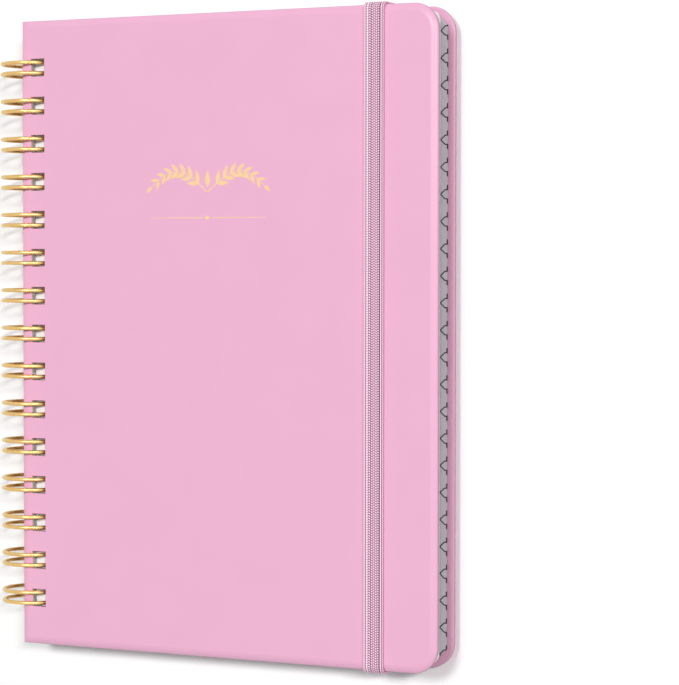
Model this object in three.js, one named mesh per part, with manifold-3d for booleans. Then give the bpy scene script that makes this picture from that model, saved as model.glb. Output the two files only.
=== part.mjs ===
// Hardcover budget planner with a twin-loop wire binding and an elastic closing band.
// Millimetres, +Z up. The planner lies on its back cover: +X points to the fore edge and
// +Y to the top of the page. The origin is at the middle of the bounding box's underside.
import * as THREE from "three";
import { mergeVertices } from "three/addons/utils/BufferGeometryUtils.js";
import Module from "manifold-3d";

const wasm = await Module();
wasm.setup();

// Covers
const coverWidth = 152.5;
const coverHeight = 209;
const coverThickness = 2.2;
const coverCornerRadius = 8.5;
const coverSpineCornerRadius = 0.8;
const coverRollDepth = 1.0;
const coverRollWidth = 1.8;

// Printed liners glued inside the covers
const linerThickness = 0.3;
const linerGlueGap = 0.05;
const linerForeInset = 2.4;
const linerEndInset = 3.2;
const linerSpineInset = 1.0;
const linerChamfer = 3;

// Page block
const pageBlockThickness = 10.3;
const pageForeInset = 4.6;
const pageEndInset = 1.4;
const pageSpineInset = 0.6;
const pageCornerRadius = 3;
const pageClearance = 0.3;

// Binding wire
const wireDiameter = 1.3;
const wireLoopCount = 15;
const wireLoopPitch = 12.7;
const wirePairSpacing = 3.5;
const wireRingRadius = 10.25;
const wireSpineOffset = 0.4;
const wireBendRadius = 1.6;
const wireEndStub = 1.0;
const wireTipAngle = THREE.MathUtils.degToRad(266);
const wireBaseAngle = THREE.MathUtils.degToRad(-83);
const wireSides = 6;
const legSteps = 17;
const tipSteps = 5;
const bendSteps = 3;

// Punched holes
const holeSpineMargin = 4;
const holeLength = 5.9;
const holeClearance = 0.35;

// Elastic band
const bandWidth = 7;
const bandThickness = 0.8;
const bandForeDistance = 21.5;
const bandBackReach = 12;
const bandClearance = 0.15;
const bandCornerRadius = 1.6;

// Colours and finishes
const coverWrap = { color: 0xefb4d2, roughness: 0.6, metalness: 0 };
const printedLiner = { color: 0xd8d5d8, roughness: 0.7, metalness: 0 };
const pagePaper = { color: 0xf4f2f0, roughness: 0.85, metalness: 0 };
const goldWire = { color: 0xc9a15a, roughness: 0.25, metalness: 1 };
const elasticWeave = { color: 0xe9a9cb, roughness: 0.8, metalness: 0 };

// Roundness of the arcs
const cornerSegments = 8;
const rollSegments = 3;
const bandCornerSegments = 4;

// Heights, from the underside of the wire up to the outer face of the front cover
const wireOuterRadius = wireRingRadius + wireDiameter / 2;
const linerStack = linerGlueGap + linerThickness;
const innerGap = pageBlockThickness + 2 * pageClearance + 2 * linerStack;
const bookThickness = innerGap + 2 * coverThickness;
const wireAxisZ = wireOuterRadius;
const backCoverZ = wireAxisZ - bookThickness / 2;
const backLinerZ = backCoverZ + coverThickness + linerGlueGap;
const pageBlockZ = backLinerZ + linerThickness + pageClearance;
const frontLinerZ = pageBlockZ + pageBlockThickness + pageClearance;
const frontCoverZ = frontLinerZ + linerThickness + linerGlueGap;

// Places along X, with the covers' spine edge at zero before the part is centred
const wireAxisX = -wireSpineOffset;
const originX = (coverWidth + wireAxisX - wireOuterRadius) / 2;
const bandCentreX = coverWidth - bandForeDistance;

// A hole in a cover runs from its margin to where the wire leaves the cover's inner face.
const coverInnerOffset = innerGap / 2;
const coverHoleEnd = wireAxisX + holeClearance + Math.sqrt(wireOuterRadius ** 2 - coverInnerOffset ** 2);
const pageHoleEnd = wireAxisX + holeClearance + wireOuterRadius;

// A hole in the pages starts where the wire enters the block's outermost page.
const wireInnerRadius = wireRingRadius - wireDiameter / 2;
const pageEntry = Math.sqrt(wireInnerRadius ** 2 - (pageBlockThickness / 2) ** 2);
const pageHoleStart = wireAxisX + pageEntry - holeClearance;

// Places of the loops along Y
const loopPlaces = [];
for (let i = 0; i < wireLoopCount; i += 1) {
  loopPlaces.push((i - (wireLoopCount - 1) / 2) * wireLoopPitch);
}

function closedGeometry(geometry) {
  geometry.deleteAttribute("normal");
  geometry.deleteAttribute("uv");
  return mergeVertices(geometry, 1e-4);
}

function toSolid(geometry) {
  const closed = closedGeometry(geometry);
  const vertProperties = new Float32Array(closed.attributes.position.array);
  const triVerts = new Uint32Array(closed.index.array);
  return new wasm.Manifold(new wasm.Mesh({ numProp: 3, vertProperties, triVerts }));
}

function toGeometry(solid) {
  const mesh = solid.getMesh();
  const geometry = new THREE.BufferGeometry();
  geometry.setAttribute("position", new THREE.BufferAttribute(mesh.vertProperties, 3));
  geometry.setIndex(new THREE.BufferAttribute(mesh.triVerts, 1));
  return geometry;
}

// A sheet outline with its own corner sizes on the spine side and on the fore-edge side.
function roundedOutline(x0, x1, halfHeight, spineRadius, foreRadius) {
  const shape = new THREE.Shape();
  shape.moveTo(x0 + spineRadius, -halfHeight);
  shape.lineTo(x1 - foreRadius, -halfHeight);
  shape.absarc(x1 - foreRadius, -halfHeight + foreRadius, foreRadius, -Math.PI / 2, 0, false);
  shape.lineTo(x1, halfHeight - foreRadius);
  shape.absarc(x1 - foreRadius, halfHeight - foreRadius, foreRadius, 0, Math.PI / 2, false);
  shape.lineTo(x0 + spineRadius, halfHeight);
  shape.absarc(x0 + spineRadius, halfHeight - spineRadius, spineRadius, Math.PI / 2, Math.PI, false);
  shape.lineTo(x0, -halfHeight + spineRadius);
  shape.absarc(x0 + spineRadius, -halfHeight + spineRadius, spineRadius, Math.PI, 1.5 * Math.PI, false);
  return shape;
}

function chamferedOutline(x0, x1, halfHeight, chamfer) {
  const shape = new THREE.Shape();
  shape.moveTo(x0, -halfHeight);
  shape.lineTo(x1 - chamfer, -halfHeight);
  shape.lineTo(x1, -halfHeight + chamfer);
  shape.lineTo(x1, halfHeight - chamfer);
  shape.lineTo(x1 - chamfer, halfHeight);
  shape.lineTo(x0, halfHeight);
  return shape;
}

// Cuts the row of binding holes through a sheet or board that lies flat.
function punch(geometry, z, thickness, holeStart, holeEnd) {
  let solid = toSolid(geometry);
  const holeWidth = holeEnd - holeStart;
  for (const y of loopPlaces) {
    const cutter = new THREE.BoxGeometry(holeWidth, holeLength, 2 * thickness);
    cutter.translate(holeStart + holeWidth / 2, y, z + thickness / 2);
    solid = solid.subtract(toSolid(cutter));
  }
  return toGeometry(solid);
}

// A wrapped board: flat faces with edges rolled over all round.
function coverGeometry(z) {
  const outline = roundedOutline(
    coverRollWidth,
    coverWidth - coverRollWidth,
    coverHeight / 2 - coverRollWidth,
    coverSpineCornerRadius,
    coverCornerRadius - coverRollWidth,
  );
  const board = new THREE.ExtrudeGeometry(outline, {
    depth: coverThickness - 2 * coverRollDepth,
    curveSegments: cornerSegments,
    bevelEnabled: true,
    bevelThickness: coverRollDepth,
    bevelSize: coverRollWidth,
    bevelSegments: rollSegments,
  });
  board.translate(0, 0, z + coverRollDepth);
  return punch(board, z, coverThickness, holeSpineMargin, coverHoleEnd);
}

function linerGeometry(z) {
  const halfHeight = coverHeight / 2 - linerEndInset;
  const foreEdge = coverWidth - linerForeInset;
  const outline = chamferedOutline(linerSpineInset, foreEdge, halfHeight, linerChamfer);
  const sheet = new THREE.ExtrudeGeometry(outline, { depth: linerThickness, bevelEnabled: false });
  sheet.translate(0, 0, z);
  return punch(sheet, z, linerThickness, holeSpineMargin, coverHoleEnd);
}

function pageBlockGeometry() {
  const outline = roundedOutline(
    pageSpineInset,
    coverWidth - pageForeInset,
    coverHeight / 2 - pageEndInset,
    coverSpineCornerRadius,
    pageCornerRadius,
  );
  const block = new THREE.ExtrudeGeometry(outline, {
    depth: pageBlockThickness,
    curveSegments: cornerSegments,
    bevelEnabled: false,
  });
  block.translate(0, 0, pageBlockZ);
  return punch(block, pageBlockZ, pageBlockThickness, pageHoleStart, pageHoleEnd);
}

// A curve through chosen stations, so that each station is one step of the sweep.
class StationCurve extends THREE.Curve {
  constructor(stations) {
    super();
    this.stations = stations;
  }

  getUtoTmapping(u) {
    return u;
  }

  getPoint(t, target = new THREE.Vector3()) {
    const last = this.stations.length - 1;
    const place = THREE.MathUtils.clamp(t, 0, 1) * last;
    const from = Math.min(Math.floor(place + 1e-6), last - 1);
    return target.lerpVectors(this.stations[from], this.stations[from + 1], place - from);
  }

  getTangent(t, target = new THREE.Vector3()) {
    const last = this.stations.length - 1;
    const at = Math.round(THREE.MathUtils.clamp(t, 0, 1) * last);
    const before = this.stations[Math.max(at - 1, 0)];
    const after = this.stations[Math.min(at + 1, last)];
    const here = this.stations[at];
    const arriving = new THREE.Vector3().subVectors(here, before).normalize();
    const leaving = new THREE.Vector3().subVectors(after, here).normalize();
    return target.addVectors(arriving, leaving).normalize();
  }
}

// A station of the wire, at a height y and an angle round the ring's axis.
function onRing(y, angle) {
  return new THREE.Vector3(
    wireAxisX + wireRingRadius * Math.cos(angle),
    y,
    wireAxisZ + wireRingRadius * Math.sin(angle),
  );
}

// One finger of the wire: a bend out of the base, a leg round the ring, the tip's turn,
// a leg back and a bend into the base again.
function fingerStations(y) {
  const half = wirePairSpacing / 2;
  const bendAngle = wireBendRadius / wireRingRadius;
  const tipAngle = half / wireRingRadius;
  const legStart = wireBaseAngle + bendAngle;
  const legEnd = wireTipAngle - tipAngle;
  const rise = [];
  for (let i = 0; i < bendSteps; i += 1) {
    const turn = (i / bendSteps) * (Math.PI / 2);
    const across = half + wireBendRadius * (1 - Math.sin(turn));
    rise.push([across, wireBaseAngle + bendAngle * (1 - Math.cos(turn))]);
  }
  for (let i = 0; i <= legSteps; i += 1) {
    rise.push([half, legStart + ((legEnd - legStart) * i) / legSteps]);
  }
  const tip = [];
  for (let i = 1; i < tipSteps; i += 1) {
    const turn = (i / tipSteps) * Math.PI;
    tip.push(onRing(y - half * Math.cos(turn), legEnd + tipAngle * Math.sin(turn)));
  }
  const up = rise.map(([across, angle]) => onRing(y - across, angle));
  const down = rise.map(([across, angle]) => onRing(y + across, angle)).reverse();
  return [...up, ...tip, ...down];
}

function wireGeometry() {
  const reach = wirePairSpacing / 2 + wireBendRadius + wireEndStub;
  const stations = [onRing(loopPlaces[0] - reach, wireBaseAngle)];
  for (const y of loopPlaces) {
    stations.push(...fingerStations(y));
  }
  stations.push(onRing(loopPlaces[wireLoopCount - 1] + reach, wireBaseAngle));
  const section = new THREE.Shape();
  for (let i = 0; i < wireSides; i += 1) {
    const angle = ((i + 0.5) / wireSides) * 2 * Math.PI;
    const x = (wireDiameter / 2) * Math.cos(angle);
    const y = (wireDiameter / 2) * Math.sin(angle);
    if (i === 0) {
      section.moveTo(x, y);
    } else {
      section.lineTo(x, y);
    }
  }
  return new THREE.ExtrudeGeometry(section, {
    steps: stations.length - 1,
    extrudePath: new StationCurve(stations),
  });
}

// The band's side view, from one end on the back cover's underside, round both covers'
// top and bottom edges, to the other end. The outline runs outside first, then inside.
function bandGeometry() {
  const innerY = coverHeight / 2 + bandClearance;
  const outerY = innerY + bandThickness;
  const innerTop = frontCoverZ + coverThickness + bandClearance;
  const outerTop = innerTop + bandThickness;
  const innerBottom = backCoverZ - bandClearance;
  const outerBottom = innerBottom - bandThickness;
  const endY = coverHeight / 2 - bandBackReach;
  const outer = bandCornerRadius + bandThickness;
  const inner = bandCornerRadius;
  const quarter = Math.PI / 2;
  const side = new THREE.Shape();
  side.moveTo(endY, outerBottom);
  side.lineTo(outerY - outer, outerBottom);
  side.absarc(outerY - outer, outerBottom + outer, outer, -quarter, 0, false);
  side.lineTo(outerY, outerTop - outer);
  side.absarc(outerY - outer, outerTop - outer, outer, 0, quarter, false);
  side.lineTo(-outerY + outer, outerTop);
  side.absarc(-outerY + outer, outerTop - outer, outer, quarter, 2 * quarter, false);
  side.lineTo(-outerY, outerBottom + outer);
  side.absarc(-outerY + outer, outerBottom + outer, outer, 2 * quarter, 3 * quarter, false);
  side.lineTo(-endY, outerBottom);
  side.lineTo(-endY, innerBottom);
  side.lineTo(-innerY + inner, innerBottom);
  side.absarc(-innerY + inner, innerBottom + inner, inner, 3 * quarter, 2 * quarter, true);
  side.lineTo(-innerY, innerTop - inner);
  side.absarc(-innerY + inner, innerTop - inner, inner, 2 * quarter, quarter, true);
  side.lineTo(innerY - inner, innerTop);
  side.absarc(innerY - inner, innerTop - inner, inner, quarter, 0, true);
  side.lineTo(innerY, innerBottom + inner);
  side.absarc(innerY - inner, innerBottom + inner, inner, 0, -quarter, true);
  side.lineTo(endY, innerBottom);
  const band = new THREE.ExtrudeGeometry(side, {
    depth: bandWidth,
    curveSegments: bandCornerSegments,
    bevelEnabled: false,
  });
  band.rotateX(quarter);
  band.rotateZ(quarter);
  band.translate(bandCentreX - bandWidth / 2, 0, 0);
  return band;
}

function piece(name, geometry, finish) {
  const material = new THREE.MeshStandardMaterial(finish);
  const mesh = new THREE.Mesh(closedGeometry(geometry), material);
  mesh.name = name;
  return mesh;
}

const planner = new THREE.Group();
planner.add(piece("front_cover", coverGeometry(frontCoverZ), coverWrap));
planner.add(piece("front_liner", linerGeometry(frontLinerZ), printedLiner));
planner.add(piece("page_block", pageBlockGeometry(), pagePaper));
planner.add(piece("back_liner", linerGeometry(backLinerZ), printedLiner));
planner.add(piece("back_cover", coverGeometry(backCoverZ), coverWrap));
planner.add(piece("binding_wire", wireGeometry(), goldWire));
planner.add(piece("elastic_band", bandGeometry(), elasticWeave));
planner.position.x = -originX;

export default planner;
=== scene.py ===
import math
import random

import bmesh
import bpy
from bpy.props import FloatProperty, FloatVectorProperty, IntProperty
from mathutils import Euler, Matrix, Vector


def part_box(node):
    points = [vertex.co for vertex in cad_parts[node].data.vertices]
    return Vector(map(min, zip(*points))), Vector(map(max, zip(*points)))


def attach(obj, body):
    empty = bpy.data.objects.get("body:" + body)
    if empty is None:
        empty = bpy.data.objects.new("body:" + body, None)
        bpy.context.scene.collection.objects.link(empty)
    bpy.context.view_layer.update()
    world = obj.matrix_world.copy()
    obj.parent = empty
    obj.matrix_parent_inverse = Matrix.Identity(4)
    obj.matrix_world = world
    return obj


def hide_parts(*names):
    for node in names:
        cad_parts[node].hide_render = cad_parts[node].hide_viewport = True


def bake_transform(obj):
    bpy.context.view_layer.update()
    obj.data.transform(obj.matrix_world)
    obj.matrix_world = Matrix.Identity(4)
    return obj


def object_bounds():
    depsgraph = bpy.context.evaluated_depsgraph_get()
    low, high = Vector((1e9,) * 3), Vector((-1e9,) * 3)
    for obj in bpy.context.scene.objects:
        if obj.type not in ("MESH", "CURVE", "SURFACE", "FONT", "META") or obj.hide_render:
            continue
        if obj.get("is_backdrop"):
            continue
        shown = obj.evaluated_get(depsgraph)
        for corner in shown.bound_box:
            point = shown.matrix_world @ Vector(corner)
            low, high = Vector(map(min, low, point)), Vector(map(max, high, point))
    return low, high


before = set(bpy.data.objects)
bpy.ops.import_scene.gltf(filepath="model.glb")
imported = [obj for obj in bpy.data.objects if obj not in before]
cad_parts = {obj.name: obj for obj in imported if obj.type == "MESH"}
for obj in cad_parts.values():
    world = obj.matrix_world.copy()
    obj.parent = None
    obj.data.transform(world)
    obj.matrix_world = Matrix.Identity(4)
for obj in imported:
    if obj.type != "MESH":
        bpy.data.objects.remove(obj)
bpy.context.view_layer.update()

bl_info = {
    "name": "Wire-bound planner",
    "version": (1, 0, 0),
    "blender": (4, 5, 0),
    "location": "3D View > Sidebar > Planner",
    "description": "Builds the covers, leaves, wire, elastic band and foil of a wire-bound planner",
    "category": "Add Mesh",
}

MM = 0.001
LEAF_SEED = 7
# A face is level where its normal is at least this upright
LEVEL_NORMAL = 0.9999


def srgb(red, green, blue):
    """A colour written as 0 to 255 values, as linear red, green, blue."""
    linear = []
    for value in (red, green, blue):
        part = value / 255
        linear.append(part / 12.92 if part <= 0.04045 else ((part + 0.055) / 1.055) ** 2.4)
    return tuple(linear)


# Property groups


class PlannerCoverSettings(bpy.types.PropertyGroup):
    corner_radius: FloatProperty(
        name="Corner radius", description="Radius of the two fore-edge corners",
        default=8.5 * MM, unit="LENGTH")
    bevel_radius: FloatProperty(
        name="Bevel radius", description="Radius of the round bevel that the roll starts from",
        default=1.0 * MM, unit="LENGTH")
    roll_depth: FloatProperty(
        name="Roll depth", description="Height of the wrap's roll over the board's edges",
        default=1.25 * MM, unit="LENGTH")
    roll_width: FloatProperty(
        name="Roll width", description="Width of the wrap's roll over the board's edges",
        default=2.5 * MM, unit="LENGTH")
    inner_roll_depth: FloatProperty(
        name="Inner roll depth", description="Height of the roll towards the liner",
        default=0.35 * MM, unit="LENGTH")
    inner_roll_width: FloatProperty(
        name="Inner roll width", description="Width of the roll towards the liner",
        default=0.5 * MM, unit="LENGTH")
    roll_power: FloatProperty(
        name="Roll shape", description="2 is an ellipse, and lower is closer to a chamfer",
        default=1.65, min=1)
    hole_roll: FloatProperty(
        name="Hole roll", description="Softening of the punched holes' rims",
        default=0.12 * MM, unit="LENGTH")
    wrap_colour: FloatVectorProperty(
        name="Wrap colour", description="Colour of the cover's wrap",
        default=srgb(239, 180, 210), subtype="COLOR", size=3)
    # Painted shade: how much the wrap's colour is darkened down the board's sides, where they would
    # be in shade
    painted_side_shade: FloatProperty(
        name="Side shade", description="How much deeper the wrap's tone is down the board's sides",
        default=0.48, min=0, max=1)
    # Painted shade: the share of that darkening given to the turned-in border round the liner
    painted_turn_in_shade: FloatProperty(
        name="Turn-in tone", description="Share of the side shade on the turned-in border",
        default=0.3, min=0, max=1)


class PlannerPageSettings(bpy.types.PropertyGroup):
    leaf_count: IntProperty(
        name="Leaves", description="Number of modelled leaves in the block", default=34)
    leaf_gap: FloatProperty(
        name="Leaf gap", description="Air between two leaves", default=0.035 * MM, unit="LENGTH")
    leaf_drift: FloatProperty(
        name="Leaf drift", description="Most that a leaf is out of line",
        default=0.14 * MM, unit="LENGTH")
    corner_radius: FloatProperty(
        name="Corner radius", description="Radius of the leaves' fore-edge corners",
        default=3 * MM, unit="LENGTH")
    paper_colour: FloatVectorProperty(
        name="Paper colour", description="Colour of the leaves",
        default=srgb(246, 244, 243), subtype="COLOR", size=3)


class PlannerWireSettings(bpy.types.PropertyGroup):
    loop_count: IntProperty(name="Loops", description="Number of twin loops", default=15)
    loop_pitch: FloatProperty(
        name="Loop pitch", description="Distance from one twin loop to the next",
        default=12.7 * MM, unit="LENGTH")
    pair_spacing: FloatProperty(
        name="Pair spacing", description="Distance between the two legs of a loop",
        default=3.5 * MM, unit="LENGTH")
    wire_diameter: FloatProperty(
        name="Wire diameter", description="Thickness of the wire",
        default=1.3 * MM, unit="LENGTH")
    bend_radius: FloatProperty(
        name="Bend radius", description="Radius of the bends between loops",
        default=1.6 * MM, unit="LENGTH")
    hole_margin: FloatProperty(
        name="Hole margin", description="Board between the spine edge and a hole",
        default=4 * MM, unit="LENGTH")
    hole_width: FloatProperty(
        name="Hole width", description="Width of a hole across the spine",
        default=5.18 * MM, unit="LENGTH")
    page_hole_margin: FloatProperty(
        name="Page hole margin", description="Paper between the spine edge and a leaf's hole",
        default=7.35 * MM, unit="LENGTH")
    page_hole_play: FloatProperty(
        name="Page hole play", description="Air between the loops and a leaf's hole",
        default=0.35 * MM, unit="LENGTH")
    hole_length: FloatProperty(
        name="Hole length", description="Length of a hole along the spine",
        default=5.9 * MM, unit="LENGTH")
    gold_colour: FloatVectorProperty(
        name="Gold", description="Colour of the wire's coating",
        default=srgb(234, 196, 126), subtype="COLOR", size=3)


class PlannerBandSettings(bpy.types.PropertyGroup):
    columns: IntProperty(name="Columns", description="Faces across the band", default=48)
    rows_per_stitch: IntProperty(
        name="Rows per stitch", description="Faces along one stitch", default=4)
    stitch_pitch: FloatProperty(
        name="Stitch pitch", description="Length of one stitch of the weave",
        default=0.78 * MM, unit="LENGTH")
    relief: FloatProperty(
        name="Relief", description="Depth of the weave", default=0.22 * MM, unit="LENGTH")
    thickness: FloatProperty(
        name="Thickness", description="Thickness of the band", default=0.75 * MM, unit="LENGTH")
    bend_radius: FloatProperty(
        name="Bend radius", description="Outer radius of the bends round the covers' edges",
        default=2.4 * MM, unit="LENGTH")
    back_reach: FloatProperty(
        name="Back reach", description="How far each end reaches over the back cover",
        default=12.95 * MM, unit="LENGTH")
    tuck_length: FloatProperty(
        name="Tuck length", description="Length over which an end dives into the back cover",
        default=1.2 * MM, unit="LENGTH")
    tuck_depth: FloatProperty(
        name="Tuck depth", description="How deep an end dives into the back cover",
        default=1.5 * MM, unit="LENGTH")


class PlannerFoilSettings(bpy.types.PropertyGroup):
    centre_x: FloatProperty(
        name="Centre X", description="Distance of the ornament from the spine edge",
        default=71.5 * MM, unit="LENGTH")
    centre_y: FloatProperty(
        name="Centre Y", description="Height of the ornament above the middle",
        default=46.5 * MM, unit="LENGTH")
    width: FloatProperty(
        name="Width", description="Width of the ornament", default=48 * MM, unit="LENGTH")
    thickness: FloatProperty(
        name="Thickness", description="How far the foil stands on the wrap",
        default=0.04 * MM, unit="LENGTH")
    foil_colour: FloatVectorProperty(
        name="Foil", description="Colour of the foil", default=srgb(251, 214, 160),
        subtype="COLOR", size=3)


class PlannerStageSettings(bpy.types.PropertyGroup):
    floor_colour: FloatVectorProperty(
        name="Floor", description="Colour of the floor", default=(0.95, 0.95, 0.95),
        subtype="COLOR", size=3)
    floor_glow: FloatProperty(
        name="Floor glow", description="Light that the floor adds where it is seen", default=0.06)
    backdrop_grey: FloatProperty(
        name="Backdrop", description="Grey of the room where it is seen", default=0.96)


# Mesh helpers


def spine_x():
    """The place of the covers' spine edge."""
    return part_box("back_cover")[0][0]


def loop_places(wire):
    """Where the twin loops stand along the spine."""
    middle = (wire.loop_count - 1) / 2
    return [(index - middle) * wire.loop_pitch for index in range(wire.loop_count)]


def new_object(name, bm):
    """An object at the origin made from a bmesh."""
    mesh = bpy.data.meshes.new(name)
    bm.to_mesh(mesh)
    bm.free()
    piece = bpy.data.objects.new(name, mesh)
    bpy.context.scene.collection.objects.link(piece)
    return piece


def smooth_faces(mesh):
    """Smooth shading without creases."""
    for polygon in mesh.polygons:
        polygon.use_smooth = True


def punched_sheet(low, high, wire, hole_start, hole_end, corner_radius, corner_segments):
    """A flat sheet with rounded fore-edge corners and the row of punched holes."""
    bm = bmesh.new()
    corners = [
        bm.verts.new((low[0], low[1], low[2])),
        bm.verts.new((high[0], low[1], low[2])),
        bm.verts.new((high[0], high[1], low[2])),
        bm.verts.new((low[0], high[1], low[2])),
    ]
    bm.faces.new(corners)
    bmesh.ops.bevel(
        bm, geom=corners[1:3], offset=corner_radius, offset_type="OFFSET",
        affect="VERTICES", segments=corner_segments, profile=0.5, material=-1)
    for x in (hole_start, hole_end):
        geom = bm.verts[:] + bm.edges[:] + bm.faces[:]
        bmesh.ops.bisect_plane(bm, geom=geom, plane_co=(x, 0, 0), plane_no=(1, 0, 0))
    for y in loop_places(wire):
        for side in (-1, 1):
            strip = [
                face for face in bm.faces
                if hole_start < face.calc_center_median().x < hole_end]
            edges = {edge for face in strip for edge in face.edges}
            verts = {vert for face in strip for vert in face.verts}
            bmesh.ops.bisect_plane(
                bm, geom=list(verts) + list(edges) + strip,
                plane_co=(0, y + side * wire.hole_length / 2, 0), plane_no=(0, 1, 0))
    holes = []
    for face in bm.faces:
        centre = face.calc_center_median()
        in_row = hole_start < centre.x < hole_end
        if in_row and any(abs(centre.y - y) < wire.hole_length / 2 for y in loop_places(wire)):
            holes.append(face)
    bmesh.ops.delete(bm, geom=holes, context="FACES")
    raise_flat(bm, bm.faces[:], high[2] - low[2])
    bmesh.ops.recalc_face_normals(bm, faces=bm.faces[:])
    return bm


def raise_flat(bm, faces, height):
    """Gives flat faces a thickness."""
    lifted = bmesh.ops.extrude_face_region(bm, geom=faces)["geom"]
    top = [part for part in lifted if isinstance(part, bmesh.types.BMVert)]
    bmesh.ops.translate(bm, vec=(0, 0, height), verts=top)


def rim_edges(bm, high, wire, hole_start, hole_end, around_holes):
    """The sharp level edges of a sheet, round its holes or round its outline."""
    slack = 1e-6
    least_angle = 1.2
    found = []
    for edge in bm.edges:
        if len(edge.link_faces) != 2 or edge.calc_face_angle(0) < least_angle:
            continue
        first, second = (vert.co for vert in edge.verts)
        if abs(first.z - second.z) > slack:
            continue
        middle = (first + second) / 2
        inside_x = hole_start - slack < middle.x < hole_end + slack
        at_hole = inside_x and abs(middle.y) < high[1] - wire.hole_length
        if at_hole == around_holes:
            found.append(edge)
    return found


def shape_rolls(bm, low, high, cover, outer_up):
    """Turns a board's round bevels into a wide, shallow outer roll and a small inner one."""
    radius = cover.corner_radius
    bevel = cover.bevel_radius
    slack = 1.01
    reach = bevel * slack
    power = 2 / cover.roll_power
    middle = (low[2] + high[2]) / 2

    def spread(depth, size):
        return size * (1 - max(1 - depth / bevel, 0) ** power)

    for vert in bm.verts:
        x, y, z = vert.co
        if (z > middle) == outer_up:
            width, height = cover.roll_width, cover.roll_depth
        else:
            width, height = cover.inner_roll_width, cover.inner_roll_depth
        corner = Vector((high[0] - radius, math.copysign(high[1] - radius, y)))
        place = Vector((x, y))
        if x > corner.x and abs(y) > abs(corner.y):
            out = place - corner
            depth = radius - out.length
            if depth < reach:
                vert.co.xy = corner + out.normalized() * (radius - spread(depth, width))
        else:
            from_spine = x - low[0]
            from_fore = high[0] - x
            from_end = high[1] - abs(y)
            if from_spine < reach:
                vert.co.x = low[0] + spread(from_spine, width)
            elif from_fore < reach:
                vert.co.x = high[0] - spread(from_fore, width)
            if from_end < reach:
                vert.co.y = math.copysign(high[1] - spread(from_end, width), y)
        from_top = high[2] - z
        from_bottom = z - low[2]
        if from_top < reach:
            vert.co.z = high[2] - spread(from_top, height)
        elif from_bottom < reach:
            vert.co.z = low[2] + spread(from_bottom, height)


def smooth_round_flats(bm):
    """Smooth shading with a crease round each level face."""
    bm.normal_update()
    level = {face for face in bm.faces if abs(face.normal.z) > LEVEL_NORMAL}
    for face in bm.faces:
        face.smooth = True
    for edge in bm.edges:
        if sum(face in level for face in edge.link_faces) == 1:
            edge.smooth = False


def store_painted_shade(bm, low, high, painted_turn_in_shade, outer_up):
    """Stores the painted shade: 0 on the outer flat, a little on the turn-in, 1 on the sides,
    standing in for the shade that falls there.
    """
    layer = bm.verts.layers.float.new("painted_edge_shade")
    bm.normal_update()
    middle = (low[2] + high[2]) / 2
    none_above, all_below = 0.75, 0.15
    for vert in bm.verts:
        on_flat = any(abs(face.normal.z) > LEVEL_NORMAL for face in vert.link_faces)
        steep = (none_above - abs(vert.normal.z)) / (none_above - all_below)
        # Painted shade on the turned-in face: a share of the side shade
        least = 0 if (vert.co.z > middle) == outer_up else painted_turn_in_shade
        vert[layer] = min(max(0 if on_flat else steep, least), 1)


def line_holes(bm, cover, hole_start, hole_end):
    """Gives the walls of the punched holes the second material."""
    most_upright = 0.3
    row_end = 100 * MM
    for face in bm.faces:
        centre = face.calc_center_median()
        in_row = hole_start - cover.hole_roll < centre.x < hole_end + cover.hole_roll
        if in_row and abs(face.normal.z) < most_upright and abs(centre.y) < row_end:
            face.material_index = 1


# Shader helpers


def new_material(name):
    """A material, its node tree and its Principled BSDF."""
    material = bpy.data.materials.new(name)
    material.use_nodes = True
    tree = material.node_tree
    shader = next(node for node in tree.nodes if node.type == "BSDF_PRINCIPLED")
    return material, tree, shader


def math_node(tree, operation, first, second=None, third=None):
    """A Math node's result, from numbers or sockets."""
    node = tree.nodes.new("ShaderNodeMath")
    node.operation = operation
    for socket, value in zip(node.inputs, (first, second, third)):
        if value is None:
            continue
        if isinstance(value, (int, float)):
            socket.default_value = value
        else:
            tree.links.new(value, socket)
    return node.outputs[0]


def ramp_node(tree, factor, stops):
    """The colour of a ramp whose stops are pairs of a place and a colour."""
    node = tree.nodes.new("ShaderNodeValToRGB")
    elements = node.color_ramp.elements
    for index, (place, colour) in enumerate(stops):
        element = elements[index] if index < 2 else elements.new(place)
        element.position = place
        element.color = (*colour, 1)
    tree.links.new(factor, node.inputs["Fac"])
    return node.outputs["Color"]


def object_coordinates(tree):
    return tree.nodes.new("ShaderNodeTexCoord").outputs["Object"]


def noise_node(tree, vector, scale, detail=2):
    node = tree.nodes.new("ShaderNodeTexNoise")
    node.inputs["Scale"].default_value = scale
    node.inputs["Detail"].default_value = detail
    tree.links.new(vector, node.inputs["Vector"])
    return node.outputs["Fac"]


def bump_node(tree, height, strength, distance):
    node = tree.nodes.new("ShaderNodeBump")
    node.inputs["Strength"].default_value = strength
    node.inputs["Distance"].default_value = distance
    tree.links.new(height, node.inputs["Height"])
    return node.outputs["Normal"]


def seen_rays(tree):
    """1 for the rays that show a surface to the camera, in metal or through glass."""
    light_path = tree.nodes.new("ShaderNodeLightPath")
    seen = light_path.outputs["Is Camera Ray"]
    for ray in ("Is Glossy Ray", "Is Transmission Ray"):
        seen = math_node(tree, "MAXIMUM", seen, light_path.outputs[ray])
    return seen


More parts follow.
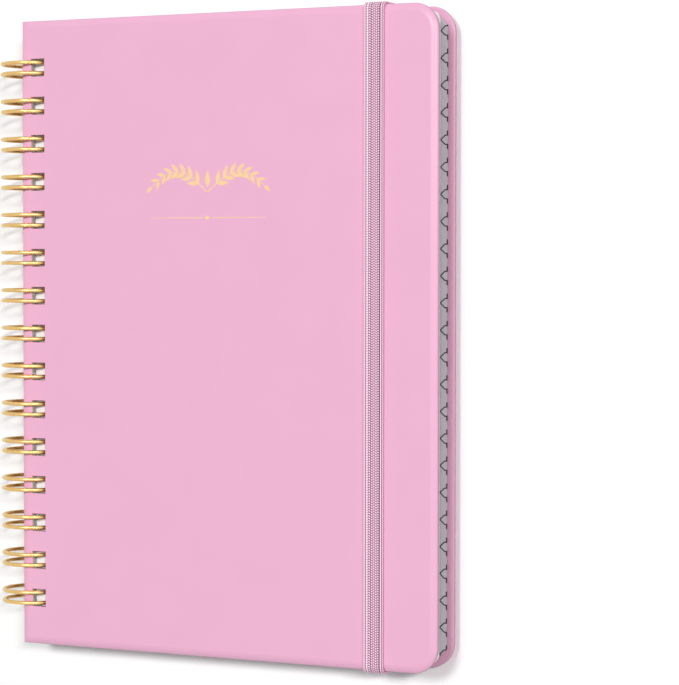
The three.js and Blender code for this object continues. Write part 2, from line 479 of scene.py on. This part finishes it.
def grain_group():
    """A node group that turns Object coordinates into fine paper grain and a soft mottle."""
    name = "paper_grain"
    if name in bpy.data.node_groups:
        return bpy.data.node_groups[name]
    group = bpy.data.node_groups.new(name, "ShaderNodeTree")
    group.interface.new_socket("Vector", in_out="INPUT", socket_type="NodeSocketVector")
    group.interface.new_socket("Grain", in_out="OUTPUT", socket_type="NodeSocketFloat")
    group.interface.new_socket("Mottle", in_out="OUTPUT", socket_type="NodeSocketFloat")
    entry = group.nodes.new("NodeGroupInput")
    leave = group.nodes.new("NodeGroupOutput")
    grain = noise_node(group, entry.outputs["Vector"], scale=2600, detail=3)
    mottle = noise_node(group, entry.outputs["Vector"], scale=60)
    group.links.new(grain, leave.inputs["Grain"])
    group.links.new(mottle, leave.inputs["Mottle"])
    return group


def add_grain(tree):
    """The fine grain and the soft mottle of the shared node group."""
    node = tree.nodes.new("ShaderNodeGroup")
    node.node_tree = grain_group()
    tree.links.new(object_coordinates(tree), node.inputs["Vector"])
    return node.outputs["Grain"], node.outputs["Mottle"]


def darker(colour, share):
    """A share of a colour."""
    return tuple(value * share for value in colour)


def wrap_material(colour, painted_side_shade):
    """Matte laminated wrap: a faint mottle, a fine tooth, and painted shade down its sides and on
    its turn-in.
    """
    material, tree, shader = new_material("pink_wrap")
    grain, mottle = add_grain(tree)
    # Painted shade: the stored edge shade scales the wrap's colour down, darkest on the board's
    # sides
    tone = tree.nodes.new("ShaderNodeAttribute")
    tone.attribute_name = "painted_edge_shade"
    light = math_node(tree, "MULTIPLY_ADD", tone.outputs["Fac"], -painted_side_shade, 1)
    apply_painted_shade = tree.nodes.new("ShaderNodeVectorMath")
    apply_painted_shade.operation = "SCALE"
    mottled = ramp_node(tree, mottle, [(0.35, darker(colour, 0.985)), (0.65, colour)])
    tree.links.new(mottled, apply_painted_shade.inputs[0])
    tree.links.new(light, apply_painted_shade.inputs["Scale"])
    tree.links.new(apply_painted_shade.outputs["Vector"], shader.inputs["Base Color"])
    least_rough, added_rough = 0.30, 0.08
    rough = math_node(tree, "MULTIPLY_ADD", grain, added_rough, least_rough)
    tree.links.new(rough, shader.inputs["Roughness"])
    tooth = bump_node(tree, grain, strength=0.05, distance=0.02 * MM)
    tree.links.new(tooth, shader.inputs["Normal"])
    shader.inputs["Specular IOR Level"].default_value = 0.4
    return material


def core_material():
    """Grey board, bare where the holes are punched through it."""
    material, tree, shader = new_material("board_core")
    grain, mottle = add_grain(tree)
    stops = [(0.3, srgb(206, 196, 196)), (0.7, srgb(228, 220, 219))]
    tree.links.new(ramp_node(tree, mottle, stops), shader.inputs["Base Color"])
    shader.inputs["Roughness"].default_value = 0.9
    fibres = bump_node(tree, grain, strength=0.3, distance=0.05 * MM)
    tree.links.new(fibres, shader.inputs["Normal"])
    return material


def paper_material(colour):
    """Leaves: warm white paper with fine fibres."""
    material, tree, shader = new_material("leaf_paper")
    grain, mottle = add_grain(tree)
    stops = [(0.3, darker(colour, 0.975)), (0.7, colour)]
    tree.links.new(ramp_node(tree, mottle, stops), shader.inputs["Base Color"])
    shader.inputs["Roughness"].default_value = 0.85
    fibres = bump_node(tree, grain, strength=0.2, distance=0.05 * MM)
    tree.links.new(fibres, shader.inputs["Normal"])
    return material


def gold_material(name, colour, roughness, metallic):
    """Gold-coloured metal or foil with faint drawing marks."""
    material, tree, shader = new_material(name)
    marks = noise_node(tree, object_coordinates(tree), scale=900)
    stops = [(0.3, darker(colour, 0.93)), (0.7, colour)]
    tree.links.new(ramp_node(tree, marks, stops), shader.inputs["Base Color"])
    shader.inputs["Metallic"].default_value = metallic
    added_rough = 0.08
    rough = math_node(tree, "MULTIPLY_ADD", marks, added_rough, roughness)
    tree.links.new(rough, shader.inputs["Roughness"])
    return material


def trellis_material():
    """Pale grey endpaper with thin black lines round rows of pointed crosses, its grey partly
    painted shade.
    """
    material, tree, shader = new_material("trellis_paper")
    period = 8.55 * MM
    half = period / 2
    line_half_width = 0.19 * MM
    line_blur = 0.1 * MM
    tip_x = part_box("back_liner")[1][0] - 2.4 * MM
    tip_y = -91.4 * MM
    # Each arm's axes along and across it, its half width, and how blunt its point is
    arm_shapes = ((0, 1, 1.45 * MM, 1.07), (1, 0, 2.0 * MM, 0.8))
    split = tree.nodes.new("ShaderNodeSeparateXYZ")
    tree.links.new(object_coordinates(tree), split.inputs[0])
    folded = []
    for axis, start in (("X", tip_x + half), ("Y", tip_y)):
        shifted = math_node(tree, "SUBTRACT", split.outputs[axis], start - half)
        wrapped = math_node(tree, "FLOORED_MODULO", shifted, period)
        centred = math_node(tree, "SUBTRACT", wrapped, half)
        folded.append(math_node(tree, "ABSOLUTE", centred))
    arms = []
    for along, across, arm_half_width, slope in arm_shapes:
        wall = math_node(tree, "SUBTRACT", folded[across], arm_half_width)
        slant = math_node(tree, "MULTIPLY_ADD", folded[across], slope, folded[along])
        beyond = math_node(tree, "SUBTRACT", slant, half)
        point = math_node(tree, "MULTIPLY", beyond, 1 / math.hypot(1, slope))
        arms.append(math_node(tree, "MAXIMUM", wall, point))
    cross = math_node(tree, "MINIMUM", *arms)
    distance = math_node(tree, "ABSOLUTE", cross)
    fade = math_node(tree, "SUBTRACT", distance, line_half_width)
    mask = math_node(tree, "MULTIPLY_ADD", fade, 1 / line_blur, 0.5)
    ink = srgb(28, 26, 30)
    # The endpaper's pale colour, darkened further as painted shade for the gap between the covers
    paper = srgb(200, 198, 204)
    tree.links.new(ramp_node(tree, mask, [(0, ink), (1, paper)]), shader.inputs["Base Color"])
    shader.inputs["Roughness"].default_value = 0.6
    fibres = bump_node(tree, add_grain(tree)[0], strength=0.1, distance=0.03 * MM)
    tree.links.new(fibres, shader.inputs["Normal"])
    return material


def elastic_material():
    """Woven elastic whose colour follows the height of its threads: deep plum in the hollows is
    painted shade, near-white on the crowns is painted highlight.
    """
    material, tree, shader = new_material("woven_elastic")
    height = tree.nodes.new("ShaderNodeAttribute")
    height.attribute_name = "thread_height"
    # Painted shade in the hollows (dark plum), the band's pink between, painted highlight on the
    # crowns (near-white)
    stops = [
        (0.0, srgb(70, 26, 48)),
        (0.22, srgb(150, 92, 122)),
        (0.5, srgb(238, 182, 211)),
        (0.8, srgb(255, 246, 254)),
    ]
    tree.links.new(ramp_node(tree, height.outputs["Fac"], stops), shader.inputs["Base Color"])
    shader.inputs["Roughness"].default_value = 0.75
    shader.inputs["Sheen Weight"].default_value = 0.15
    fuzz = noise_node(tree, object_coordinates(tree), scale=5000)
    fibres = bump_node(tree, fuzz, strength=0.3, distance=0.05 * MM)
    tree.links.new(fibres, shader.inputs["Normal"])
    return material


# Operators


class PLANNER_OT_covers(bpy.types.Operator):
    """Builds the two wrapped boards with rolled edges and punched holes"""

    bl_idname = "planner.covers"
    bl_label = "Covers"

    def execute(self, context):
        cover = context.scene.planner_cover
        wire = context.scene.planner_wire
        wrap = wrap_material(tuple(cover.wrap_colour), cover.painted_side_shade)
        board_core = core_material()
        hole_start = spine_x() + wire.hole_margin
        hole_end = hole_start + wire.hole_width
        # Whether a rim is round the holes, the size of its bevel, and the bevel's segments
        rims = ((False, cover.bevel_radius, 12), (True, cover.hole_roll, 2))
        for node in ("front_cover", "back_cover"):
            low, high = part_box(node)
            outer_up = node == "front_cover"
            bm = punched_sheet(
                low, high, wire, hole_start, hole_end, cover.corner_radius, corner_segments=24)
            for around_holes, offset, segments in rims:
                edges = rim_edges(bm, high, wire, hole_start, hole_end, around_holes)
                bmesh.ops.bevel(
                    bm, geom=edges, offset=offset, offset_type="OFFSET", affect="EDGES",
                    segments=segments, profile=0.5, material=-1)
            shape_rolls(bm, low, high, cover, outer_up)
            smooth_round_flats(bm)
            line_holes(bm, cover, hole_start, hole_end)
            store_painted_shade(bm, low, high, cover.painted_turn_in_shade, outer_up)
            board = new_object(node + "_board", bm)
            board.data.materials.append(wrap)
            board.data.materials.append(board_core)
            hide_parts(node)
            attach(board, node)
        return {"FINISHED"}


class PLANNER_OT_liners(bpy.types.Operator):
    """Gives the liners their printed paper"""

    bl_idname = "planner.liners"
    bl_label = "Liners"

    def execute(self, context):
        material = trellis_material()
        for node in ("front_liner", "back_liner"):
            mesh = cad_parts[node].data
            mesh.materials.clear()
            mesh.materials.append(material)
        return {"FINISHED"}


class PLANNER_OT_leaves(bpy.types.Operator):
    """Builds the block of leaves"""

    bl_idname = "planner.leaves"
    bl_label = "Leaves"

    def execute(self, context):
        pages = context.scene.planner_pages
        wire = context.scene.planner_wire
        chance = random.Random(LEAF_SEED)
        low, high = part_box("page_block")
        hole_start = spine_x() + wire.page_hole_margin
        hole_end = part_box("binding_wire")[1][0] + wire.page_hole_play
        drift = pages.leaf_drift
        step = (high[2] - low[2]) / pages.leaf_count
        first = Vector((low[0] + drift, low[1] + drift, low[2]))
        last = Vector((high[0] - drift, high[1] - drift, low[2] + step - pages.leaf_gap))
        bm = punched_sheet(
            first, last, wire, hole_start, hole_end, pages.corner_radius, corner_segments=10)
        leaf = bm.verts[:] + bm.edges[:] + bm.faces[:]
        for index in range(1, pages.leaf_count):
            copy = bmesh.ops.duplicate(bm, geom=leaf)["geom"]
            verts = [part for part in copy if isinstance(part, bmesh.types.BMVert)]
            shift = (chance.uniform(-drift, drift), chance.uniform(-drift, drift), index * step)
            bmesh.ops.translate(bm, vec=shift, verts=verts)
        block = new_object("leaves", bm)
        block.data.materials.append(paper_material(tuple(pages.paper_colour)))
        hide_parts("page_block")
        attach(block, "page_block")
        return {"FINISHED"}


# The wire's loops: the radius to the middle of the wire, the angles round the ring where a
# loop starts and where its tip is, and the straight piece at each end of the wire
RING_RADIUS = 10.25 * MM
BASE_ANGLE = math.radians(-83)
TIP_ANGLE = math.radians(266)
END_LENGTH = 1.0 * MM


def ring_centre():
    """The axis of the wire's rings."""
    low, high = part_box("binding_wire")
    return (low[0] + high[0]) / 2, (low[2] + high[2]) / 2


def loop_route(y, wire):
    """Points of one twin loop as pairs of a place along the spine and an angle round the ring."""
    half = wire.pair_spacing / 2
    bend = wire.bend_radius / RING_RADIUS
    turn = half / RING_RADIUS
    leg_start = BASE_ANGLE + bend
    leg_end = TIP_ANGLE - turn
    bend_steps, leg_steps, tip_steps = 6, 44, 12
    rise = []
    for index in range(bend_steps):
        part = index / bend_steps * math.pi / 2
        across = half + wire.bend_radius * (1 - math.sin(part))
        rise.append((across, BASE_ANGLE + bend * (1 - math.cos(part))))
    for index in range(leg_steps + 1):
        rise.append((half, leg_start + (leg_end - leg_start) * index / leg_steps))
    tip = []
    for index in range(1, tip_steps):
        part = index / tip_steps * math.pi
        tip.append((y - half * math.cos(part), leg_end + turn * math.sin(part)))
    up = [(y - across, angle) for across, angle in rise]
    down = [(y + across, angle) for across, angle in reversed(rise)]
    return up + tip + down


class PLANNER_OT_wire(bpy.types.Operator):
    """Bends the one continuous wire into its twin loops"""

    bl_idname = "planner.wire"
    bl_label = "Wire"

    def execute(self, context):
        wire = context.scene.planner_wire
        axis_x, axis_z = ring_centre()
        reach = wire.pair_spacing / 2 + wire.bend_radius + END_LENGTH
        places = loop_places(wire)
        route = [(places[0] - reach, BASE_ANGLE)]
        for y in places:
            route += loop_route(y, wire)
        route.append((places[-1] + reach, BASE_ANGLE))
        curve = bpy.data.curves.new("wire_route", "CURVE")
        curve.dimensions = "3D"
        curve.bevel_depth = wire.wire_diameter / 2
        curve.bevel_resolution = 4
        curve.use_fill_caps = True
        spline = curve.splines.new("POLY")
        spline.points.add(len(route) - 1)
        for point, (y, angle) in zip(spline.points, route):
            x = axis_x + RING_RADIUS * math.cos(angle)
            z = axis_z + RING_RADIUS * math.sin(angle)
            point.co = (x, y, z, 1)
        maker = bpy.data.objects.new("wire_route", curve)
        context.scene.collection.objects.link(maker)
        context.view_layer.update()
        mesh = bpy.data.meshes.new_from_object(maker)
        bpy.data.objects.remove(maker)
        bpy.data.curves.remove(curve)
        loops = bpy.data.objects.new("wire_loops", mesh)
        context.scene.collection.objects.link(loops)
        smooth_faces(mesh)
        gold = gold_material("gold_wire", tuple(wire.gold_colour), roughness=0.24, metallic=1)
        mesh.materials.clear()
        mesh.materials.append(gold)
        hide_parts("binding_wire")
        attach(loops, "back_cover")
        return {"FINISHED"}


# The band's ribs: where each starts and ends as shares of the width, its weave and its phase
BAND_RIBS = (
    (0.000, 0.136, "edge", 0.0),
    (0.136, 0.265, "float", 0.2),
    (0.265, 0.386, "stitch", 0.0),
    (0.386, 0.495, "stitch", 0.45),
    (0.495, 0.590, "slant", 0.1),
    (0.590, 0.700, "slant", 0.55),
    (0.700, 0.800, "stitch", 0.3),
    (0.800, 0.842, "gap", 0.0),
    (0.842, 0.900, "cord", 0.0),
    (0.900, 0.942, "dashes", 0.0),
    (0.942, 1.000, "edge", 0.5),
)
# A weave's height: its base, and what its crown, its stitches and both together add
WEAVES = {
    "edge": (0.40, 0.10, 0.10, 0.00),
    "float": (0.00, 0.48, 0.00, 0.52),
    "stitch": (0.00, 0.12, 0.00, 0.88),
    "slant": (0.18, 0.00, 0.00, 0.72),
    "gap": (0.05, 0.00, 0.00, 0.00),
    "cord": (0.82, 0.18, 0.00, 0.00),
    "dashes": (0.08, 0.00, 0.24, 0.00),
}
CROWN_POWER = 0.6
STITCH_LEAN = 0.3


def thread_height(across, stitch):
    """Height of the weave, 0 to 1, at a share of the width and a count of stitches."""
    start, end, weave, phase = next(rib for rib in BAND_RIBS if across <= rib[1])
    base, by_crown, by_wave, by_both = WEAVES[weave]
    place = (across - start) / (end - start)
    crown = math.sin(math.pi * place) ** CROWN_POWER
    wave = 0.5 + 0.5 * math.cos(2 * math.pi * (stitch + phase + STITCH_LEAN * place))
    return base + by_crown * crown + by_wave * wave + by_both * crown * wave


def band_legs(low, high, reach, corner):
    """The band's way round the covers, as straight legs and bends.

    Each leg has a length. A straight one has its start (y, z) and its direction, and a bend
    has its centre and the angle that it turns from, a quarter turn clockwise.
    """
    y0, y1, z0, z1 = low[1], high[1], low[2], high[2]
    flat = reach - corner
    side = z1 - z0 - 2 * corner
    front = y1 - y0 - 2 * corner
    arc = corner * math.pi / 2
    return [
        (flat, Vector((y0 + reach, z0)), Vector((-1, 0)), None),
        (arc, Vector((y0 + corner, z0 + corner)), None, -90),
        (side, Vector((y0, z0 + corner)), Vector((0, 1)), None),
        (arc, Vector((y0 + corner, z1 - corner)), None, 180),
        (front, Vector((y0 + corner, z1)), Vector((1, 0)), None),
        (arc, Vector((y1 - corner, z1 - corner)), None, 90),
        (side, Vector((y1, z1 - corner)), Vector((0, -1)), None),
        (arc, Vector((y1 - corner, z0 + corner)), None, 0),
        (flat, Vector((y1 - corner, z0)), Vector((-1, 0)), None),
    ]


def band_place(legs, corner, distance):
    """Place (y, z) and outward direction on the band's outer side after a distance."""
    for leg in legs:
        length, start, direction, turn_from = leg
        if distance <= length or leg is legs[-1]:
            break
        distance -= length
    if turn_from is None:
        return start + direction * distance, Vector((-direction.y, direction.x))
    angle = math.radians(turn_from - 90 * distance / length)
    out = Vector((math.cos(angle), math.sin(angle)))
    return start + out * corner, out


class PLANNER_OT_band(bpy.types.Operator):
    """Weaves the elastic band round both covers"""

    bl_idname = "planner.band"
    bl_label = "Elastic band"

    def execute(self, context):
        band = context.scene.planner_band
        low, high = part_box("elastic_band")
        thickness = band.thickness
        legs = band_legs(low, high, band.back_reach, band.bend_radius)
        total = sum(leg[0] for leg in legs)
        rows = int(total / band.stitch_pitch * band.rows_per_stitch)
        rows_per_lining_row = 6
        side_columns = 2
        side_wall = side_columns / band.columns
        bm = bmesh.new()
        layer = bm.verts.layers.float.new("thread_height")
        woven, lining = (
            set(bmesh.ops.create_grid(bm, x_segments=columns, y_segments=count, size=0.5)["verts"])
            for columns, count in ((band.columns, rows), (1, rows // rows_per_lining_row)))
        for vert in bm.verts:
            share = vert.co.x + 0.5
            distance = (vert.co.y + 0.5) * total
            across = min(max((share - side_wall) / (1 - 2 * side_wall), 0), 1)
            height = thread_height(across, distance / band.stitch_pitch)
            to_side = min(share, 1 - share) / side_wall
            to_end = min(distance, total - distance) / band.tuck_length
            sink = band.relief * (1 - height)
            if vert in lining:
                sink = thickness
            elif to_side < 1:
                sink = max(sink, thickness * (1 - to_side))
            sink += band.tuck_depth * max(0, 1 - to_end) ** 2
            vert[layer] = height
            place, out = band_place(legs, band.bend_radius, distance)
            x = low[0] + across * (high[0] - low[0])
            vert.co = (x, place.x - out.x * sink, place.y - out.y * sink)
        inside = Vector((0, (low[1] + high[1]) / 2, (low[2] + high[2]) / 2))
        bm.normal_update()
        for sheet, outward in ((woven, 1), (lining, -1)):
            faces = [face for face in bm.faces if face.verts[0] in sheet]
            swing = sum(
                (face.calc_center_median() - inside).yz.dot(face.normal.yz) for face in faces)
            if swing * outward < 0:
                bmesh.ops.reverse_faces(bm, faces=faces)
        strap = new_object("elastic_strap", bm)
        smooth_faces(strap.data)
        strap.data.materials.append(elastic_material())
        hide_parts("elastic_band")
        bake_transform(strap)
        return {"FINISHED"}


def add_leaf(bm, start, direction, length, width):
    """A pointed leaf, lying flat."""
    belly_place, belly_power = 0.8, 1.3
    rim = bmesh.ops.create_circle(bm, cap_ends=True, segments=28, radius=0.5)["verts"]
    side = Vector((-direction.y, direction.x))
    for vert in rim:
        along = min(max(vert.co.x + 0.5, 0), 1)
        swell = max(math.sin(math.pi * along ** belly_place), 0) ** belly_power
        across = math.copysign(swell * width / 2, vert.co.y)
        vert.co.xy = start + direction * (length * along) + side * across


def add_line(bm, place, width):
    """A thin line that follows a path of the shares 0 to 1, tapering to its end."""
    step, narrowing = 0.01, 0.5
    ribbon = bmesh.ops.create_grid(bm, x_segments=32, y_segments=1, size=0.5)["verts"]
    for vert in ribbon:
        share = vert.co.x + 0.5
        heading = (place(share + step) - place(share - step)).normalized()
        side = Vector((-heading.y, heading.x))
        taper = 1 - narrowing * share
        vert.co.xy = place(share) + side * (math.copysign(width / 2, vert.co.y) * taper)


class PLANNER_OT_foil(bpy.types.Operator):
    """Presses a gold sprig into the front cover"""

    bl_idname = "planner.foil"
    bl_label = "Foil ornament"

    def execute(self, context):
        foil = context.scene.planner_foil
        low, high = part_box("front_cover")
        half = foil.width / 2
        stem_reach, stem_rise, stem_width = half * 0.86, half * 0.28, 0.4 * MM
        rule_start, rule_length, rule_width = half * 0.08, half * 0.8, 0.3 * MM
        rule_y = -half * 0.34
        leaf_pairs, first_share, lean = 7, 0.16, math.radians(38)
        stem_thickness = foil.thickness * 1.4
        up, right = Vector((0, 1)), Vector((1, 0))
        bm = bmesh.new()

        def stem(side):
            return lambda share: Vector((
                side * stem_reach * share, stem_rise * math.sin(share * math.pi * 0.9)))

        def rule(side):
            return lambda share: Vector((side * (rule_start + rule_length * share), rule_y))

        for side in (-1, 1):
            place = stem(side)
            for index in range(leaf_pairs):
                share = first_share + (1 - first_share) * index / leaf_pairs
                along = (place(share + 0.01) - place(share)).normalized()
                length = half * (0.21 - 0.08 * share)
                for turn in (-lean, lean):
                    heading = Vector(along)
                    heading.rotate(Matrix.Rotation(turn, 2))
                    add_leaf(bm, place(share), heading, length, width=length * 0.31)
            along = (place(1) - place(0.98)).normalized()
            add_leaf(bm, place(1), along, length=half * 0.13, width=half * 0.05)
            add_line(bm, rule(side), rule_width)
        add_leaf(bm, up * half * 0.07, up, length=half * 0.24, width=half * 0.08)
        diamond = Vector((-half * 0.05, rule_y))
        add_leaf(bm, diamond, right, length=half * 0.1, width=half * 0.045)
        raise_flat(bm, bm.faces[:], foil.thickness)
        pressed = set(bm.faces)
        for side in (-1, 1):
            add_line(bm, stem(side), stem_width)
        raise_flat(bm, [face for face in bm.faces if face not in pressed], stem_thickness)
        place = (low[0] + foil.centre_x, foil.centre_y, high[2])
        bmesh.ops.translate(bm, vec=place, verts=bm.verts[:])
        bmesh.ops.recalc_face_normals(bm, faces=bm.faces[:])
        sprig = new_object("foil_sprig", bm)
        gold = gold_material("gold_foil", tuple(foil.foil_colour), roughness=0.32, metallic=0.12)
        sprig.data.materials.append(gold)
        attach(sprig, "front_cover")
        return {"FINISHED"}


# The camera's place from the back cover's spine edge, middle and back, and its turn in degrees
CAMERA_PLACE = (0.46163, 0.02444, 0.71979)
CAMERA_TURN = (-1.859, 25.965, 0.053)
# Each lamp's name, place, size and power
LAMPS = (
    ("key", (0.303, 1.550, 5.788), (1.05, 1.05), 154),
    ("side_key", (3.33, 1.29, 4.82), (0.42, 1.25), 140),
)
# The room's light: the direction it mostly comes from, and greys from the far side to there
ROOM_LIGHT_FROM = (-0.15, 0.1, 0.98)
ROOM_GREYS = ((0.4, 0.02), (0.6, 0.08), (0.8, 0.24), (1.0, 0.4))


class PLANNER_OT_stage(bpy.types.Operator):
    """Makes the camera, the pale floor and the soft light"""

    bl_idname = "planner.stage"
    bl_label = "Stage"

    def execute(self, context):
        scene = context.scene
        self.add_camera(scene)
        self.add_floor(scene.planner_stage)
        self.add_world(scene)
        for name, place, size, power in LAMPS:
            self.add_lamp(scene, name, place, size, power)
        scene.view_settings.view_transform = "Standard"
        return {"FINISHED"}

    def add_camera(self, scene):
        data = bpy.data.cameras.new("camera")
        data.sensor_width = 36
        data.lens = 130.5
        data.clip_end = 20
        camera = bpy.data.objects.new("camera", data)
        cover_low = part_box("back_cover")[0]
        x, y, z = CAMERA_PLACE
        camera.location = (cover_low[0] + x, y, cover_low[2] + z)
        camera.rotation_euler = Euler([math.radians(angle) for angle in CAMERA_TURN], "XYZ")
        scene.collection.objects.link(camera)
        scene.camera = camera

    def add_floor(self, stage):
        floor_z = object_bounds()[0][2] - 0.2 * MM
        bm = bmesh.new()
        bmesh.ops.create_grid(bm, x_segments=1, y_segments=1, size=3)
        bmesh.ops.translate(bm, vec=(0, 0, floor_z), verts=bm.verts[:])
        floor = new_object("floor", bm)
        material, tree, shader = new_material("floor_paint")
        shader.inputs["Base Color"].default_value = (*stage.floor_colour, 1)
        shader.inputs["Roughness"].default_value = 0.9
        glow = stage.floor_glow
        shader.inputs["Emission Color"].default_value = (glow, glow, glow, 1)
        tree.links.new(seen_rays(tree), shader.inputs["Emission Strength"])
        floor.data.materials.append(material)
        floor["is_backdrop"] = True

    def add_world(self, scene):
        world = bpy.data.worlds.new("studio")
        scene.world = world
        world.use_nodes = True
        tree = world.node_tree
        towards = tree.nodes.new("ShaderNodeVectorMath")
        towards.operation = "DOT_PRODUCT"
        direction = tree.nodes.new("ShaderNodeTexCoord").outputs["Generated"]
        tree.links.new(direction, towards.inputs[0])
        towards.inputs[1].default_value = ROOM_LIGHT_FROM
        share = math_node(tree, "MULTIPLY_ADD", towards.outputs["Value"], 0.5, 0.5)
        stops = [(place, (grey, grey, grey)) for place, grey in ROOM_GREYS]
        mix = tree.nodes.new("ShaderNodeMix")
        mix.data_type = "RGBA"
        room, backdrop = [socket for socket in mix.inputs if socket.type == "RGBA"]
        colour = next(socket for socket in mix.outputs if socket.type == "RGBA")
        grey = scene.planner_stage.backdrop_grey
        backdrop.default_value = (grey, grey, grey, 1)
        tree.links.new(seen_rays(tree), mix.inputs["Factor"])
        tree.links.new(ramp_node(tree, share, stops), room)
        tree.links.new(colour, tree.nodes["Background"].inputs["Color"])

    def add_lamp(self, scene, name, place, size, power):
        data = bpy.data.lights.new(name, "AREA")
        data.shape = "RECTANGLE"
        data.size, data.size_y = size
        data.energy = power
        lamp = bpy.data.objects.new(name, data)
        lamp.location = place
        lamp.rotation_euler = Vector(place).to_track_quat("Z", "Y").to_euler()
        scene.collection.objects.link(lamp)


class PLANNER_PT_panel(bpy.types.Panel):
    """Lists the steps that build the planner"""

    bl_label = "Planner"
    bl_idname = "PLANNER_PT_panel"
    bl_space_type = "VIEW_3D"
    bl_region_type = "UI"
    bl_category = "Planner"

    def draw(self, context):
        for operator in OPERATORS:
            self.layout.operator(operator.bl_idname)


OPERATORS = (
    PLANNER_OT_stage,
    PLANNER_OT_covers,
    PLANNER_OT_liners,
    PLANNER_OT_leaves,
    PLANNER_OT_wire,
    PLANNER_OT_band,
    PLANNER_OT_foil,
)
SETTINGS = {
    "planner_cover": PlannerCoverSettings,
    "planner_pages": PlannerPageSettings,
    "planner_wire": PlannerWireSettings,
    "planner_band": PlannerBandSettings,
    "planner_foil": PlannerFoilSettings,
    "planner_stage": PlannerStageSettings,
}


def register():
    for group in SETTINGS.values():
        bpy.utils.register_class(group)
    for name, group in SETTINGS.items():
        setattr(bpy.types.Scene, name, bpy.props.PointerProperty(type=group))
    for operator in OPERATORS:
        bpy.utils.register_class(operator)
    bpy.utils.register_class(PLANNER_PT_panel)


def unregister():
    bpy.utils.unregister_class(PLANNER_PT_panel)
    for operator in reversed(OPERATORS):
        bpy.utils.unregister_class(operator)
    for name, group in SETTINGS.items():
        delattr(bpy.types.Scene, name)
        bpy.utils.unregister_class(group)


def main():
    register()
    bpy.ops.planner.stage()
    bpy.ops.planner.covers()
    bpy.ops.planner.liners()
    bpy.ops.planner.leaves()
    bpy.ops.planner.wire()
    bpy.ops.planner.band()
    bpy.ops.planner.foil()
    bpy.context.view_layer.update()


if __name__ == "__main__":
    main()
